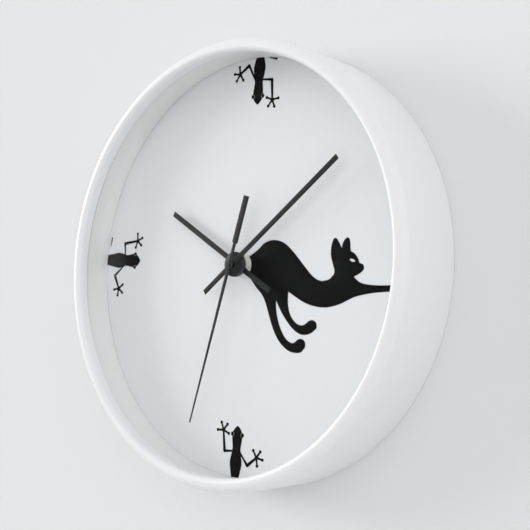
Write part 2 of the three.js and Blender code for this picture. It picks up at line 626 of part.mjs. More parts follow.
const planted = [
  ["minute_wheel", minuteWheel(), MINUTE_WHEEL, "gear"],
  ["third_wheel", thirdWheel(), THIRD, "gear"],
  ["intermediate_wheel", intermediateWheel(), INTERMEDIATE, "gear"],
  ["rotor_pinion", rotorPinion(), ROTOR, "gear"],
  ["rotor_magnet", rotorMagnet(), ROTOR, "ferrite"],
];
for (const [name, geometry, p, finish] of planted) {
  addPiece(name, geometry, finish, movement).position.set(p.x, p.y, 0);
}

// ---- fixing the movement to the board, and the clock to the wall ----

const HANGER = { width: 24, bottom: -9, fold: 29.4, top: 52, thickness: 0.6, back: 2, holeY: 41 };

// A steel strap clamped between movement and board, folded back over the movement, with a keyhole for a nail.
function hangerBracket() {
  const { width, bottom, fold, top, thickness, back, holeY } = HANGER;
  const side = width / 2;
  const clampBack = MOVEMENT.front + FILM;
  const clampFront = clampBack + thickness - GAP;
  const clamp = box(-side, side, bottom, fold + thickness, clampBack, clampFront);
  const web = box(-side, side, fold, fold + thickness, back, clampFront);
  const tongue = box(-side, side, fold, top, back, back + thickness);
  const mountingHole = disc(BUSHING.radius + CLEARANCE, clampBack - 1, clampFront + 1);
  const nailHead = at(new THREE.Vector2(0, holeY), disc(3.5, back - 1, back + 1, 16));
  const nailSlot = box(-1.6, 1.6, holeY, holeY + 7, back - 1, back + 1);
  return cut(join(clamp, web, tongue), mountingHole, nailHead, nailSlot);
}

function hexNut() {
  const corners = Array.from({ length: 6 }, (_, i) => fromPoint(SHAFT, NUT.corner, 60 * i));
  const hexagon = new THREE.Shape(corners);
  hexagon.holes.push(circle(SHAFT, BUSHING.radius + 0.12));
  return extruded(hexagon, NUT.back, NUT.front, 12);
}

const washer = ({ radius, back, front }) => ring(BUSHING.radius + 0.2, radius, back, front);

addPiece("hanger_bracket", hangerBracket(), "steel");
addPiece("rubber_washer", washer(RUBBER_WASHER), "rubber");
addPiece("nut_washer", washer(NUT_WASHER), "nut");
addPiece("mounting_nut", hexNut(), "nut");

// ---- hands ----

// A straight hand pointing at twelve, with a round eye where it is fixed on its pipe.
function batonShape({ tip, tail, width, eye }, bore) {
  const side = width / 2;
  const a = Math.asin(side / eye);
  const shape = new THREE.Shape();
  shape.moveTo(side, tip);
  shape.lineTo(-side, tip);
  shape.absarc(0, 0, eye, Math.PI / 2 + a, 1.5 * Math.PI - a, false);
  shape.lineTo(-side, -tail);
  shape.lineTo(side, -tail);
  shape.absarc(0, 0, eye, -Math.PI / 2 + a, Math.PI / 2 - a, false);
  shape.holes.push(circle(SHAFT, bore));
  return shape;
}

// A fine tapering hand with a long paddle behind the shaft that balances it.
function sweepShape({ tip, eye, point }, bore) {
  const { neck, width, start, shoulder, end } = PADDLE;
  const shape = new THREE.Shape();
  shape.moveTo(point / 2, tip);
  shape.lineTo(-point / 2, tip);
  shape.absarc(0, 0, eye, Math.PI - 1, Math.PI + 1.1, false);
  shape.lineTo(-neck / 2, -start);
  shape.lineTo(-width / 2, -shoulder);
  shape.lineTo(-width / 2, -end);
  shape.lineTo(width / 2, -end);
  shape.lineTo(width / 2, -shoulder);
  shape.lineTo(neck / 2, -start);
  shape.absarc(0, 0, eye, -1.1, 1, false);
  shape.holes.push(circle(SHAFT, bore));
  return shape;
}

// The round cap at the foot of the minute hand, with a shallow cone on its front.
function minuteHub() {
  const { radius, back, rim, front } = HUB;
  const bore = MINUTE_PIPE.radius + PIPE_FIT;
  return turned([[bore, back], [radius, back], [radius, rim], [4, front], [bore, front], [bore, back]], 32);
}

// The tube that grips the second arbor, and the small rivet on it that holds the second hand.
function secondHub() {
  const { radius, back, front, rivet, rivetFront } = SECOND_HUB;
  const bore = SECOND_ARBOR.radius + 0.06;
  const closed = SECOND_ARBOR.front + 0.1;
  const tube = [[bore, back], [radius, back], [radius, front], [rivet, front]];
  const rivetEnd = [[rivet, rivetFront], [0, rivetFront]];
  const socket = [[0, closed], [bore, closed], [bore, back]];
  return turned([...tube, ...rivetEnd, ...socket], 16);
}

function addHand(name, shape, hand) {
  const piece = addPiece(name, extruded(shape, hand.back, hand.front), "hand");
  piece.rotation.z = -THREE.MathUtils.degToRad(hand.degrees);
}

addHand("hour_hand", batonShape(HOUR, HOUR_PIPE.radius + 0.1), HOUR);
addHand("minute_hand", batonShape(MINUTE, MINUTE_PIPE.radius + PIPE_FIT), MINUTE);
addHand("second_hand", sweepShape(SECOND, SECOND_HUB.rivet + 0.1), SECOND);
addPiece("minute_hub", minuteHub(), "hand");
addPiece("second_hub", secondHub(), "hand");

// ---- standing the clock up ----

clock.rotation.x = Math.PI / 2;
clock.position.y = CASE_DEPTH / 2;
const wallClock = new THREE.Group();
wallClock.add(clock);

export default wallClock;
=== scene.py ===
"""Looks of the cat wall clock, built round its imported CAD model.

Metres. Pieces are drawn in the clock's own frame, X right, Y up and Z out from the wall, with the
hands' shaft at X = Y = 0, and STAND turns that into the CAD model's frame, where +Z is up and the
dial faces -Y.
"""
import json
import math

import bmesh
import bpy
from mathutils import Matrix, Vector


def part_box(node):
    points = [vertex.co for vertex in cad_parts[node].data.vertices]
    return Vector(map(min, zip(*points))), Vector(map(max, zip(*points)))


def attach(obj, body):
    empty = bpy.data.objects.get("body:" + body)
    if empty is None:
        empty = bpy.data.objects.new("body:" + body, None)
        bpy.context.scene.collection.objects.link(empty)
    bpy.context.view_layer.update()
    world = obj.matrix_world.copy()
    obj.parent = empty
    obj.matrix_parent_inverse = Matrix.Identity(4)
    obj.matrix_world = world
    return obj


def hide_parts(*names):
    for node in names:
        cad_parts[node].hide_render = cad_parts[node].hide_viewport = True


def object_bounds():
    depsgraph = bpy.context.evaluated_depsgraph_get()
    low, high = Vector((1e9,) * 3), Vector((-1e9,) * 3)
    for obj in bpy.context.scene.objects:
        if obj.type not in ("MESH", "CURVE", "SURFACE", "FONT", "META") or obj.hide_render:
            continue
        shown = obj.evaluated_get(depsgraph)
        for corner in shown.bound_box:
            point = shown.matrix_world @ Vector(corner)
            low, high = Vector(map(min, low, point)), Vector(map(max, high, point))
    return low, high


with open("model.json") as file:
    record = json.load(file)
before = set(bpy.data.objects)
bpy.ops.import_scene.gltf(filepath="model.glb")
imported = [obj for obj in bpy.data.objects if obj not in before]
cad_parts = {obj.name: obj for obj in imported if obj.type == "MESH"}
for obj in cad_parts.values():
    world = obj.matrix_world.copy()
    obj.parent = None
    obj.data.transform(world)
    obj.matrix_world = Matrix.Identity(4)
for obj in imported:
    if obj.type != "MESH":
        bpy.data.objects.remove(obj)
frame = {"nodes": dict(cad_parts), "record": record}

CAD_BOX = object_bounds()
MM = 0.001
WALL_Y = CAD_BOX[1].y  # the plane of the clock's back, which is also the wall's
STAND = Matrix(((1, 0, 0, 0), (0, 0, -1, WALL_Y), (0, 1, 0, 0), (0, 0, 0, 1)))
RING_SEGMENTS = 256
SMALL_SEGMENTS = 64
SHARP = math.radians(35)  # an edge that bends by more than this is shaded as an edge
FLATNESS = 0.001 * MM
WELD = 0.002 * MM  # vertices nearer than this are one
DECIMALS = 7  # of a metre, to tell the CAD model's vertices apart

# ---- reading the CAD model ----


def heights(node):
    """How far the back and the front of a CAD node are from the wall."""
    low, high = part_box(node)
    return WALL_Y - high.y, WALL_Y - low.y


def centre(node):
    low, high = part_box(node)
    return (low.x + high.x) / 2, (low.z + high.z) / 2


def radius(node):
    low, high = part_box(node)
    return (high.x - low.x) / 2


def outlines(node):
    """The closed outlines of a CAD node's flat front, as lists of (x, y) points."""
    mesh = frame["nodes"][node].data
    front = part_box(node)[0].y
    edges = set()
    for face in mesh.polygons:
        corners = [mesh.vertices[i].co for i in face.vertices]
        if all(abs(co.y - front) < FLATNESS for co in corners):
            keys = [(round(co.x, DECIMALS), round(co.z, DECIMALS)) for co in corners]
            edges |= set(zip(keys, keys[1:] + keys[:1]))
    following = {a: b for a, b in edges if (b, a) not in edges}
    loops = []
    while following:
        here = min(following)
        loop = []
        while here in following:
            loop.append(here)
            here = following.pop(here)
        loops.append(loop)
    return loops


# ---- outlines ----


def turn_at(points, i):
    """The angle that an outline turns through at one of its points."""
    here = Vector(points[i])
    before = here - Vector(points[i - 1])
    after = Vector(points[(i + 1) % len(points)]) - here
    return before.angle(after)


def smoothed(points, corner, step=0.4 * MM):
    """A smooth curve through an outline's points, broken only where it turns sharply."""
    n = len(points)
    sharp = [turn_at(points, i) > corner for i in range(n)]
    curve = []
    for i in range(n):
        a, b, c, d = (Vector(points[(i + k) % n]) for k in (-1, 0, 1, 2))
        length = (c - b).length
        leaving = (c - b) if sharp[i] else (c - a) * length / (length + (b - a).length)
        arriving = (c - b) if sharp[(i + 1) % n] else (d - b) * length / (length + (d - c).length)
        count = max(1, math.ceil(length / step))
        for t in (k / count for k in range(count)):
            curve.append(
                b * (2 * t**3 - 3 * t**2 + 1) + c * (3 * t**2 - 2 * t**3)
                + leaving * (t**3 - 2 * t**2 + t) + arriving * (t**3 - t**2)
            )
    return curve


def worn(points, longest, rounds=3):
    """An outline with every corner rounded off, over no more than half of the longest step."""
    fine = []
    for a, b in zip(points, points[1:] + points[:1]):
        a, b = Vector(a), Vector(b)
        count = max(1, math.ceil((b - a).length / longest))
        fine += [a.lerp(b, k / count) for k in range(count)]
    for _ in range(rounds):
        pairs = zip(fine, fine[1:] + fine[:1])
        fine = [p for a, b in pairs for p in (a.lerp(b, 0.25), a.lerp(b, 0.75))]
    return fine


def filleted(corners, steps=5):
    """An outline whose (x, y, radius) corners are rounded by arcs and whose (x, y) corners stay sharp."""
    out = []
    for i, corner in enumerate(corners):
        here = Vector(corner[:2])
        if len(corner) == 2:
            out.append(here)
            continue
        before = (Vector(corners[i - 1][:2]) - here).normalized()
        after = (Vector(corners[(i + 1) % len(corners)][:2]) - here).normalized()
        half = before.angle(after) / 2
        middle = here + (before + after).normalized() * corner[2] / math.sin(half)
        start = here + before * corner[2] / math.tan(half) - middle
        end = here + after * corner[2] / math.tan(half) - middle
        sweep = start.angle(end)
        for k in range(steps + 1):
            t = k / steps
            arm = start * math.sin((1 - t) * sweep) + end * math.sin(t * sweep)
            out.append(middle + arm / math.sin(sweep))
    return out


def circle_angles(segments):
    return [2 * math.pi * i / segments for i in range(segments)]


def circle(size, at=(0, 0), segments=SMALL_SEGMENTS):
    angles = circle_angles(segments)
    return [Vector((at[0] + size * math.cos(a), at[1] + size * math.sin(a))) for a in angles]


# ---- making pieces ----


def add_piece(name, mesh, material, body, stands_for=(), place=STAND):
    """Puts a mesh into the scene, riding on a body. place turns its frame into the CAD model's."""
    mesh.transform(place)
    mesh.materials.clear()
    mesh.materials.append(material)
    mesh.shade_smooth()
    mesh.set_sharp_from_angle(angle=SHARP)
    piece = bpy.data.objects.new(name, mesh)
    bpy.context.scene.collection.objects.link(piece)
    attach(piece, body)
    if stands_for:
        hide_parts(*stands_for)
    return piece


def lathe_mesh(outline, segments=RING_SEGMENTS):
    """A body of revolution about Z from a closed outline of (radius, z) points."""
    bm = bmesh.new()
    angles = circle_angles(segments)
    rings = []
    for r, z in outline:
        around = angles if r > 0 else [0.0]
        rings.append([bm.verts.new((r * math.cos(a), r * math.sin(a), z)) for a in around])
    for near, far in zip(rings, rings[1:] + rings[:1]):
        if len(near) == len(far) == 1:
            continue
        for i in range(segments):
            j = (i + 1) % segments
            quad = [near[i % len(near)], near[j % len(near)], far[j % len(far)], far[i % len(far)]]
            bm.faces.new(list(dict.fromkeys(quad)))
    return finished(bm)


def plate_mesh(loops, back, front, edge):
    """A flat sheet with outlines and holes, whose front and back edges are rounded."""
    curve = bpy.data.curves.new("plate", "CURVE")
    curve.dimensions = "2D"
    curve.fill_mode = "BOTH"
    for loop in loops:
        spline = curve.splines.new("POLY")
        spline.points.add(len(loop) - 1)
        for point, (x, y) in zip(spline.points, loop):
            point.co = (x, y, 0, 1)
        spline.use_cyclic_u = True
    curve.extrude = (front - back) / 2 - edge
    curve.bevel_depth = edge
    curve.bevel_resolution = 2
    curve.offset = -edge
    drawn = bpy.data.objects.new("plate", curve)
    bpy.context.scene.collection.objects.link(drawn)
    bpy.context.view_layer.update()
    seen = drawn.evaluated_get(bpy.context.evaluated_depsgraph_get())
    bm = bmesh.new()
    bm.from_mesh(bpy.data.meshes.new_from_object(seen))
    bpy.data.objects.remove(drawn)
    bmesh.ops.remove_doubles(bm, verts=bm.verts, dist=WELD)
    bmesh.ops.translate(bm, verts=bm.verts, vec=(0, 0, (back + front) / 2))
    return finished(bm)


def finished(bm):
    bmesh.ops.recalc_face_normals(bm, faces=bm.faces)
    mesh = bpy.data.meshes.new("piece")
    bm.to_mesh(mesh)
    bm.free()
    return mesh


# ---- materials ----


class Shader:
    """A node material under construction, with its Principled shader."""

    def __init__(self, name, **inputs):
        self.material = bpy.data.materials.new(name)
        self.material.use_nodes = True
        self.tree = self.material.node_tree
        self.surface = self.tree.nodes["Principled BSDF"]
        self.output = self.tree.nodes["Material Output"]
        self.place = self.add("ShaderNodeTexCoord").outputs["Object"]
        self.set(self.surface, **inputs)

    def add(self, kind, settings=None, **inputs):
        node = self.tree.nodes.new(kind)
        for key, value in (settings or {}).items():
            setattr(node, key, value)
        self.set(node, **inputs)
        return node

    def set(self, node, **inputs):
        """Sets or links inputs, given by name with _ for each space, or by number as in _0."""
        for key, value in inputs.items():
            socket = node.inputs[int(key[1:]) if key[0] == "_" else key.replace("_", " ")]
            if isinstance(value, bpy.types.NodeSocket):
                self.tree.links.new(value, socket)
            else:
                socket.default_value = value

    def noise(self, scale, detail=2.0, roughness=0.5, vector=None):
        node = self.add("ShaderNodeTexNoise", Scale=scale, Detail=detail, Roughness=roughness)
        self.set(node, Vector=vector or self.place)
        return node.outputs["Fac"]

    def scaled(self, factors):
        node = self.add("ShaderNodeVectorMath", {"operation": "MULTIPLY"}, _0=self.place, _1=factors)
        return node.outputs[0]

    def blended(self, factor, first, second):
        """A colour between two, as a factor goes from 0 to 1."""
        node = self.add("ShaderNodeMix", {"data_type": "RGBA"}, _0=factor, _6=first, _7=second)
        return node.outputs[2]

    def between(self, factor, low, high, start=0.0, end=1.0):
        """A value between low and high, as a factor goes from start to end."""
        node = self.add("ShaderNodeMapRange", Value=factor)
        self.set(node, From_Min=start, From_Max=end, To_Min=low, To_Max=high)
        return node.outputs["Result"]

    def math(self, operation, *values):
        node = self.add("ShaderNodeMath", {"operation": operation})
        for i, value in enumerate(values):
            self.set(node, **{f"_{i}": value})
        return node.outputs[0]

    def bump(self, height, depth):
        node = self.add("ShaderNodeBump", Height=height, Distance=depth, Strength=1.0)
        self.set(self.surface, Normal=node.outputs["Normal"])


def grey(value, cool=0.0):
    return (value, value, value + cool, 1)


def mottled(name, dark, light, size, rough, grain=None, depth=0.0, **inputs):
    """Paint or moulding whose colour and gloss drift gently, with a fine surface grain."""
    shader = Shader(name, **inputs)
    drift = shader.noise(1 / size, 3)
    shader.set(
        shader.surface,
        Base_Color=shader.blended(drift, dark, light),
        Roughness=shader.between(drift, rough[0], rough[1]),
    )
    if grain:
        shader.bump(shader.noise(1 / grain, 2), depth)
    return shader


def case_paint():
    return mottled("case_paint", (0.865, 0.875, 0.89, 1), (0.885, 0.895, 0.905, 1), 40 * MM, (0.3, 0.38),
                   grain=1.6 * MM, depth=0.012 * MM).material


def acrylic():
    """Clear sheet with a faint mirror image, which lets nearly all the light through to the dial."""
    shader = Shader("acrylic")
    fresnel = shader.add("ShaderNodeFresnel", IOR=1.06).outputs[0]
    seen = shader.add("ShaderNodeLightPath").outputs["Is Camera Ray"]
    clear = shader.add("ShaderNodeBsdfTransparent", Color=(0.99, 0.993, 0.993, 1))
    haze = shader.between(shader.noise(60, 2), 0.02, 0.05)
    gloss = shader.add("ShaderNodeBsdfGlossy", Roughness=haze, Color=(1, 1, 1, 1))
    mirrored = shader.math("MULTIPLY", fresnel, seen)
    mix = shader.add("ShaderNodeMixShader", _0=mirrored, _1=clear.outputs[0], _2=gloss.outputs[0])
    shader.set(shader.output, Surface=mix.outputs[0])
    shader.tree.nodes.remove(shader.surface)
    return shader.material


def spacer_plastic():
    return mottled("spacer_plastic", (0.83, 0.84, 0.82, 1), (0.85, 0.86, 0.845, 1), 30 * MM, (0.5, 0.6),
                   grain=0.8 * MM, depth=0.01 * MM).material


def dial_sheet():
    """Printed card: a faint fibre in the white and a soft sheen."""
    shader = mottled("dial_sheet", (0.835, 0.845, 0.865, 1), (0.85, 0.86, 0.875, 1), 25 * MM, (0.5, 0.6))
    shader.bump(shader.noise(2500, 3), 0.006 * MM)
    return shader.material


def ink():
    shader = mottled("ink", grey(0.0035), grey(0.0045), 6 * MM, (0.55, 0.65), Specular_IOR_Level=0.06)
    shader.bump(shader.noise(3000, 2), 0.004 * MM)
    return shader.material


def hand_paint_with_edge_highlight():
    """Dark satin enamel with a painted highlight, a little lighter along every edge where the bevels turn
    away from the dial.
    """
    shader = Shader("hand_paint_with_edge_highlight", Specular_IOR_Level=0.18)
    drift = shader.noise(300, 3)
    normal = shader.add("ShaderNodeNewGeometry").outputs["Normal"]
    across = shader.add("ShaderNodeSeparateXYZ", Vector=normal).outputs[1]
    # painted highlight: edge grows as the surface turns away from facing the dial, on the bevels and sides
    edge = shader.between(shader.math("ABSOLUTE", across), 1, 0, 0.3, 0.98)
    enamel = shader.blended(drift, grey(0.014), grey(0.02, 0.001))
    # grey(0.05) is the painted highlight's colour, blended in along the edges
    shader.set(shader.surface, Base_Color=shader.blended(edge, enamel, grey(0.05)))
    shader.set(shader.surface, Roughness=shader.between(drift, 0.38, 0.5))
    shader.bump(shader.noise(5000, 2), 0.006 * MM)
    return shader.material


def nut_finish():
    return mottled("nut_finish", (0.89, 0.865, 0.79, 1), (0.92, 0.895, 0.825, 1), 4 * MM, (0.3, 0.42),
                   grain=0.3 * MM, depth=0.006 * MM).material


def zinc():
    """Zinc plated steel, with a faint spangle and rolling lines."""
    shader = mottled("zinc", grey(0.55), grey(0.66, 0.01), 5 * MM, (0.24, 0.4), Metallic=1.0)
    shader.bump(shader.noise(1, 3, vector=shader.scaled((300, 300, 6000))), 0.004 * MM)
    return shader.material


def black_moulding():
    """Black plastic with the fine sandy grain of a textured mould."""
    return mottled("black_moulding", grey(0.026), grey(0.034), 12 * MM, (0.4, 0.52),
                   grain=0.35 * MM, depth=0.02 * MM).material


def acetal():
    return mottled("acetal", (0.78, 0.75, 0.65, 1), (0.82, 0.79, 0.7, 1), 4 * MM, (0.35, 0.45),
                   grain=0.5 * MM, depth=0.004 * MM, Subsurface_Weight=0.1).material


def brass():
    """Turned brass, with fine rings left by the tool."""
    dark, light = (0.66, 0.46, 0.18, 1), (0.76, 0.56, 0.26, 1)
    shader = mottled("brass", dark, light, 3 * MM, (0.2, 0.35), Metallic=1.0)
    shader.bump(shader.noise(1, 2, vector=shader.scaled((200, 9000, 200))), 0.003 * MM)
    return shader.material


def copper_wire():
    """Close turns of enamelled wire, wound round X."""
    shader = Shader("copper_wire", Metallic=0.9, Roughness=0.28)
    turns = shader.add("ShaderNodeTexWave", {"bands_direction": "X"}, Scale=1200, Distortion=0.6)
    shader.set(turns, Vector=shader.place)
    colour = shader.blended(turns.outputs["Fac"], (0.25, 0.07, 0.02, 1), (0.62, 0.25, 0.08, 1))
    shader.set(shader.surface, Base_Color=colour)
    shader.bump(turns.outputs["Fac"], 0.05 * MM)
    return shader.material


def rubber():
    return mottled("rubber", grey(0.012), grey(0.02), 5 * MM, (0.75, 0.9),
                   grain=0.4 * MM, depth=0.02 * MM).material


def ferrite():
    return mottled("ferrite", grey(0.03), grey(0.05), 1 * MM, (0.45, 0.7),
                   grain=0.2 * MM, depth=0.02 * MM).material


def laminate():
    """Green board with copper tracks showing faintly under the lacquer."""
    shader = Shader("laminate", Roughness=0.35)
    tracks = shader.add("ShaderNodeTexBrick", Scale=300, Mortar_Size=0.03)
    shader.set(tracks, Vector=shader.place, Color1=(0, 0, 0, 1), Color2=(0, 0, 0, 1), Mortar=(1, 1, 1, 1))
    colour = shader.blended(tracks.outputs["Color"], (0.015, 0.1, 0.04, 1), (0.05, 0.22, 0.09, 1))
    shader.set(shader.surface, Base_Color=colour)
    shader.bump(tracks.outputs["Color"], 0.02 * MM)
    return shader.material


def hardboard():
    """The rough side of hardboard: brown fibres pressed into the weave of a screen."""
    shader = Shader("hardboard")
    fibres = shader.noise(1, 6, 0.65, shader.scaled((700, 700, 260)))
    patches = shader.noise(25, 3)
    base = shader.blended(fibres, (0.16, 0.085, 0.04, 1), (0.34, 0.2, 0.105, 1))
    shade = shader.blended(patches, (0.8, 0.8, 0.8, 1), (1.1, 1.08, 1.05, 1))
    multiply = {"data_type": "RGBA", "blend_type": "MULTIPLY"}
    colour = shader.add("ShaderNodeMix", multiply, _0=1.0, _6=base, _7=shade)
    across = shader.add("ShaderNodeTexWave", {"bands_direction": "X"}, Scale=120, Vector=shader.place)
    down = shader.add("ShaderNodeTexWave", {"bands_direction": "Z"}, Scale=120, Vector=shader.place)
    weave = shader.math("MULTIPLY", across.outputs["Fac"], down.outputs["Fac"])
    relief = shader.math("MULTIPLY_ADD", fibres, 0.5, weave)
    shader.set(shader.surface, Base_Color=colour.outputs[2], Roughness=shader.between(fibres, 0.7, 0.9))
    shader.bump(relief, 0.12 * MM)
    return shader.material


def cell_sleeve():
    """A battery's printed film: a dark green body with a pale band at the nub end, and bare steel ends."""
    low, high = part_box("battery")
    band_start = low.x + 0.68 * (high.x - low.x)
    cap_start = high.x - 2.6 * MM
    foot_end = low.x + 0.8 * MM
    shader = Shader("cell_sleeve", Metallic=0.4)
    along = shader.add("ShaderNodeSeparateXYZ", Vector=shader.place).outputs[0]
    grain = shader.noise(900, 2)
    band = shader.math("GREATER_THAN", along, band_start)
    cap = shader.math("GREATER_THAN", along, cap_start)
    foot = shader.math("LESS_THAN", along, foot_end)
    dark = shader.blended(grain, (0.02, 0.11, 0.07, 1), (0.025, 0.13, 0.085, 1))
    printed = shader.blended(band, dark, (0.62, 0.64, 0.6, 1))
    bare = shader.math("MAXIMUM", cap, foot)
    shader.set(shader.surface, Base_Color=shader.blended(bare, printed, grey(0.6)))
    shader.set(shader.surface, Roughness=shader.between(grain, 0.22, 0.34))
    shader.bump(grain, 0.004 * MM)
    return shader.material


FINISHES = {
    "painted_case": case_paint(),
    "acrylic_lens": acrylic(),
    "spacer_plastic": spacer_plastic(),
    "printed_dial": dial_sheet(),
    "black_print": ink(),
    "hardboard": hardboard(),
    "steel": zinc(),
    "movement_plastic": black_moulding(),
    "gear_plastic": acetal(),
    "brass": brass(),
    "copper_wire": copper_wire(),
    "circuit_laminate": laminate(),
    "chip_resin": rubber(),
    "ferrite": ferrite(),
    "rubber": rubber(),
    "nut_metal": nut_finish(),
    "hand_metal": hand_paint_with_edge_highlight(),
    "cell_sleeve": cell_sleeve(),
}
SLOTS = {row["node"]: row["material_slot"] for row in frame["record"]["subparts"]}


def stand_in(node, mesh, body, **options):
    """A finer piece shown in place of one CAD node, in that node's material."""
    slot = SLOTS[node]
    piece = add_piece(f"{node}_looks", mesh, FINISHES[slot], body, stands_for=[node], **options)


def paint_cad_nodes():
    for name, node in frame["nodes"].items():
        node.data.materials.clear()
        node.data.materials.append(FINISHES[SLOTS[name]])


# ---- case, lens and dial ----

OPENING_RADIUS = 118.8 * MM
REBATE_RADIUS = 121.9 * MM
BEAD_CREST = 121.2 * MM  # the radius at which the rounded front edge is highest
BEAD_OUTER = 6.1 * MM, 7.8 * MM  # width and depth of the ellipse outside the crest
BEAD_INNER_DEPTH = 3 * MM
SIDE_DRAFT = 0.3 * MM
LENS_CLEARANCE = 0.05 * MM  # between the lens and the case's lip in front of it
SPACER_WALL = 0.6 * MM
SHAFT_HOLE = 5 * MM  # the radius of the hole in the dial and in the board


def bead(side, front, steps=24):
    """The rounded front edge, from the side to the crest and down into the opening."""
    width, depth = BEAD_OUTER
    start = math.acos((side - BEAD_CREST) / width)
    points = []
    for i in range(steps):
        a = start + (math.pi / 2 - start) * i / steps
        points.append((BEAD_CREST + width * math.cos(a), front - depth * (1 - math.sin(a))))
    for i in range(steps + 1):
        a = math.pi / 2 * (1 + i / steps)
        inward = (BEAD_CREST - OPENING_RADIUS) * math.cos(a)
        points.append((BEAD_CREST + inward, front - BEAD_INNER_DEPTH * (1 - math.sin(a))))
    return points


def case_ring():
    outer = radius("case_ring")
    front = heights("case_ring")[1]
    seat = heights("lens")[1] + LENS_CLEARANCE
    crown = bead(outer - SIDE_DRAFT, front)
    foot = [(REBATE_RADIUS, 0, 0.4 * MM), (outer, 0, 0.5 * MM)]
    inside = [(OPENING_RADIUS, seat, 0.1 * MM), (REBATE_RADIUS, seat)]
    stand_in("case_ring", lathe_mesh(filleted(foot + crown + inside)), "case")


def disc(node, bore, edge):
    """A flat round plate, whole or with a hole, in place of a CAD node."""
    back, front = heights(node)
    size = radius(node)
    outline = filleted([(bore, back), (size, back, edge), (size, front, edge), (bore, front)])
    stand_in(node, lathe_mesh(outline), "case")


def dial_parts():
    disc("lens", 0, 0.25 * MM)
    disc("dial", SHAFT_HOLE, 0.1 * MM)
    disc("back_board", SHAFT_HOLE, 0.2 * MM)
    back, front = heights("spacer_ring")
    size = radius("spacer_ring")
    inner = size - SPACER_WALL
    outline = [(inner, back), (size, back), (size, front), (inner, front, 0.2 * MM)]
    stand_in("spacer_ring", lathe_mesh(filleted(outline)), "case")


# ---- the print on the dial ----

CAT_CORNER = math.radians(38)  # an outline that turns by more than this has a corner there
LIZARD_CORNER = math.radians(50)
CAT_WEAR = 0.8 * MM
LIZARD_WEAR = 0.5 * MM
PRINT_EDGE = 0.02 * MM


def printed(node, corner, wear):
    loops = [worn(smoothed(loop, corner), wear) for loop in outlines(node)]
    back, front = heights(node)
    stand_in(node, plate_mesh(loops, back, front, PRINT_EDGE), "case")


def prints():
    printed("cat_print", CAT_CORNER, CAT_WEAR)
    for kind in ("lizard_print", "toe_print"):
        for node in frame["nodes"]:
            if node.startswith(kind):
                printed(node, LIZARD_CORNER, LIZARD_WEAR)


# ---- hands ----

HAND_CORNER = math.radians(38)
HAND_EDGE = 0.12 * MM
MINUTE_BORE = 1.68 * MM  # radii of the hubs' bores
SECOND_BORE = 0.56 * MM
HUB_CHAMFER = 0.3 * MM
HUB_CROWN = 0.75 * MM
HAND_GAP = 0.05 * MM  # between the socket's shoulder and the second hand
RIVET_RADIUS = 0.9 * MM  # of the socket's head, which holds the second hand
RIVET_CAP = 0.4 * MM
NUT_BORE = 4.12 * MM
NUT_CORNER = 1.5 * MM
WASHER_BORE = 4.2 * MM
WASHER_SEGMENTS = 128


def hands():
    for hand in ("hour", "minute", "second"):
        node = f"{hand}_hand"
        loops = [smoothed(loop, HAND_CORNER) for loop in outlines(node)]
        back, front = heights(node)
        stand_in(node, plate_mesh(loops, back, front, HAND_EDGE), f"{hand}_arbor")


def minute_hub():
    """The round boss: a chamfered foot, a crowned face and a countersunk bore."""
    back, front = heights("minute_hub")
    size = radius("minute_hub")
    outline = [
        (MINUTE_BORE, back),
        (size - HUB_CHAMFER, back),
        (size, back + HUB_CHAMFER, 0.2 * MM),
        (size, front - HUB_CROWN, 0.5 * MM),
        (0.55 * size, front, 1 * MM),
        (MINUTE_BORE + 0.5 * MM, front, 0.1 * MM),
        (MINUTE_BORE, front - HUB_CHAMFER),
    ]
    stand_in("minute_hub", lathe_mesh(filleted(outline), SMALL_SEGMENTS), "minute_arbor")


def second_hub():
    """The second hand's socket, closed at the front, with a narrower head that the hand is riveted to."""
    back, front = heights("second_hub")
    size = radius("second_hub")
    under = heights("second_hand")[0] - HAND_GAP
    outline = [
        (SECOND_BORE, back),
        (size, back, 0.1 * MM),
        (size, under, 0.2 * MM),
        (RIVET_RADIUS, under),
        (RIVET_RADIUS, front, 0.25 * MM),
        (0, front),
        (0, front - RIVET_CAP),
        (SECOND_BORE, front - RIVET_CAP),
    ]
    stand_in("second_hub", lathe_mesh(filleted(outline), SMALL_SEGMENTS), "second_arbor")


def mounting_nut():
    """A hexagonal nut with rounded corners, over its washer."""
    back, front = heights("mounting_nut")
    corner = max(math.hypot(x, y) for x, y in outlines("mounting_nut")[0])
    hexagon = filleted([(x, y, NUT_CORNER) for x, y in circle(corner, segments=6)])
    loops = [hexagon, circle(NUT_BORE)]
    stand_in("mounting_nut", plate_mesh(loops, back, front, 0.4 * MM), "case")
    back, front = heights("nut_washer")
    loops = [circle(radius("nut_washer"), segments=WASHER_SEGMENTS), circle(WASHER_BORE)]
    stand_in("nut_washer", plate_mesh(loops, back, front, 0.15 * MM), "case")


# ---- the back ----

KNOB_WELL_GAP = 0.8 * MM  # round the setting knob
KNOB_RING_WIDTH = 1.1 * MM
KNOB_RING_INSET = 0.3 * MM  # from the well's edge
KNOB_RING_HEIGHT = 0.3 * MM
KNOB_RING_SINK = 0.05 * MM  # how far it reaches into the cover
KNOB_RING_EDGE = 0.12 * MM
NUB_RADIUS = 2.7 * MM
NUB_HEIGHT = 1.1 * MM
CELL_FOOT = 0.4 * MM  # how far the cell's flat end is let in
INSULATOR_DEPTH = 0.4 * MM
CELL_SEGMENTS = 96


def softened(node, body, edge):
    """A CAD node's own solid with its sharp edges rounded."""
    bm = bmesh.new()
    bm.from_mesh(frame["nodes"][node].data)
    bmesh.ops.remove_doubles(bm, verts=bm.verts, dist=WELD)
    bmesh.ops.dissolve_limit(bm, angle_limit=math.radians(1), verts=bm.verts, edges=bm.edges)
    sharp = [e for e in bm.edges if e.is_manifold and e.calc_face_angle() > SHARP]
    bmesh.ops.bevel(
        bm, geom=sharp, offset=edge, segments=2, profile=0.5, affect="EDGES", clamp_overlap=True
    )
    stand_in(node, finished(bm), body, place=Matrix.Identity(4))


